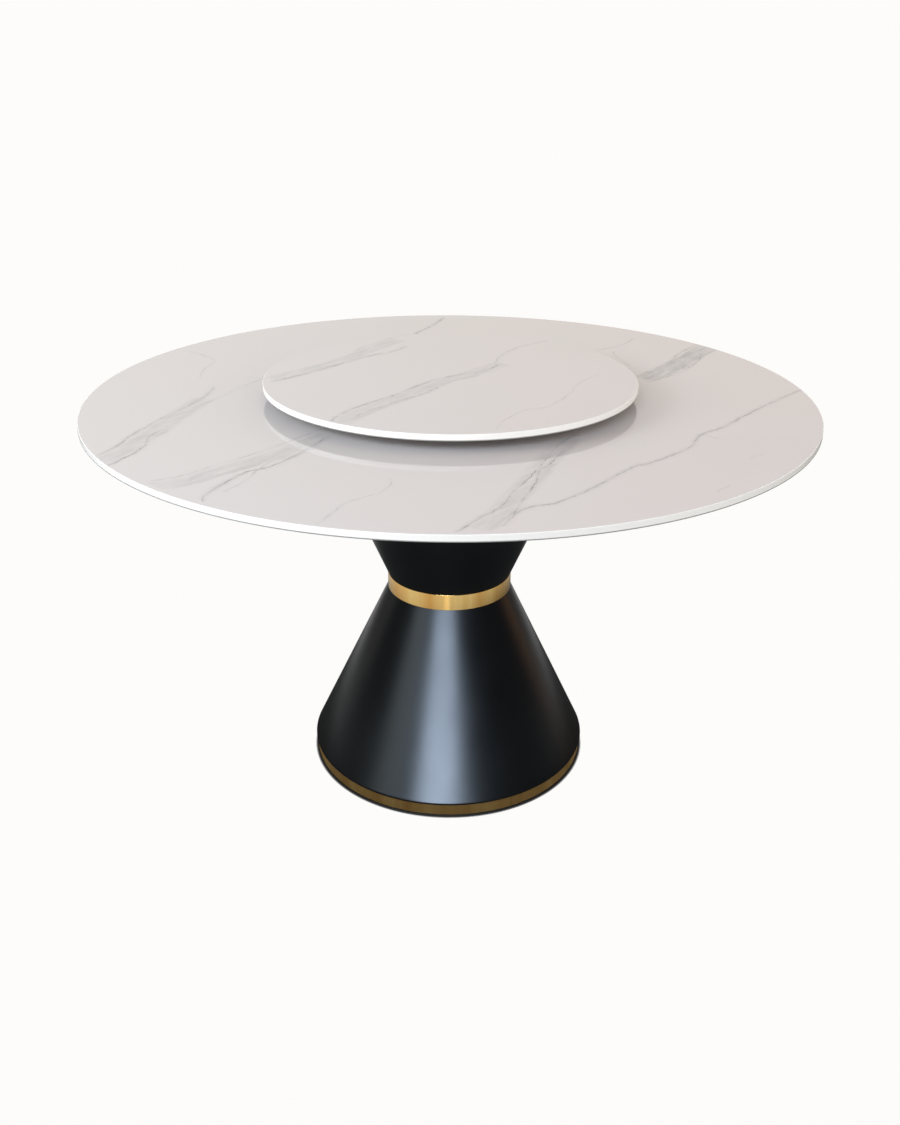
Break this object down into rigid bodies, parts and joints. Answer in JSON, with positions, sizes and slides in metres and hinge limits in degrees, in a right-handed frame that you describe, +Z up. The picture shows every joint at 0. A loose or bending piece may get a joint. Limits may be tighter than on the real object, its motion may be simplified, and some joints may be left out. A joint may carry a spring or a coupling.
{
  "type": "dining table with lazy susan",
  "caption": "Round pedestal dining table: a thin stone top on an hourglass of black cones with gold bands, and a smaller stone lazy susan that turns above it on a caged ball race.",
  "frame": {"origin": "centre of the foot ring's underside, on the floor and on the axis of the table and its lazy susan", "axes": "+Z up along the axis that the lazy susan turns about; +X to the right and -Y towards the viewer"},
  "size_m": [1.3498, 1.35, 0.792],
  "materials": {
    "sintered_stone": "polished",
    "black_powder_coat": "satin",
    "gold_stainless": "polished",
    "black_primed_steel": "matte",
    "zinc_plated_steel": "satin",
    "brass_insert": "satin",
    "birch_plywood": "matte",
    "clear_silicone": "satin",
    "black_foam": "matte",
    "black_rubber": "matte",
    "race_aluminium": "satin",
    "cage_nylon": "matte",
    "ball_steel": "polished"
  },
  "bodies": {
    "table": {"foot_ring": "black_rubber", "base_plate": "black_primed_steel", "base_band": "gold_stainless", "lower_cone": "black_powder_coat", "column_flange": "black_primed_steel", "lower_column": "black_primed_steel", "base_gussets": "black_primed_steel", "flange_bolts": "zinc_plated_steel", "flange_washers": "zinc_plated_steel", "flange_nuts": "zinc_plated_steel", "skirt_screws": "zinc_plated_steel", "skirt_nuts": "zinc_plated_steel", "lower_neck_plate": "black_primed_steel", "waist_core": "black_primed_steel", "waist_band": "gold_stainless", "upper_neck_plate": "black_primed_steel", "neck_bolts": "zinc_plated_steel", "neck_washers": "zinc_plated_steel", "neck_nuts": "zinc_plated_steel", "upper_cone": "black_powder_coat", "rim_tape": "black_foam", "upper_column": "black_primed_steel", "top_gussets": "black_primed_steel", "top_plate": "black_primed_steel", "top_bolts": "zinc_plated_steel", "top_washers": "zinc_plated_steel", "threaded_inserts": "brass_insert", "mounting_board": "birch_plywood", "silicone_dabs": "clear_silicone", "tabletop": "sintered_stone", "race_feet": "black_rubber", "race_base_ring": "race_aluminium"},
    "susan": {"race_turn_ring": "race_aluminium", "susan_pads": "clear_silicone", "susan_top": "sintered_stone"},
    "cage": {"ball_cage": "cage_nylon", "bearing_balls": "ball_steel"}
  },
  "joints": [
    {"name": "susan_spin", "type": "hinge", "parent": "table", "child": "susan", "pos_m": [0, 0, 0.77], "axis": [0, 0, 1], "continuous": true},
    {"name": "cage_spin", "type": "hinge", "parent": "table", "child": "cage", "pos_m": [0, 0, 0.77], "axis": [0, 0, 1], "continuous": true}
  ],
  "couplings": [
    {"joint": "cage_spin", "follows": "susan_spin", "ratio": 0.4893}
  ]
}
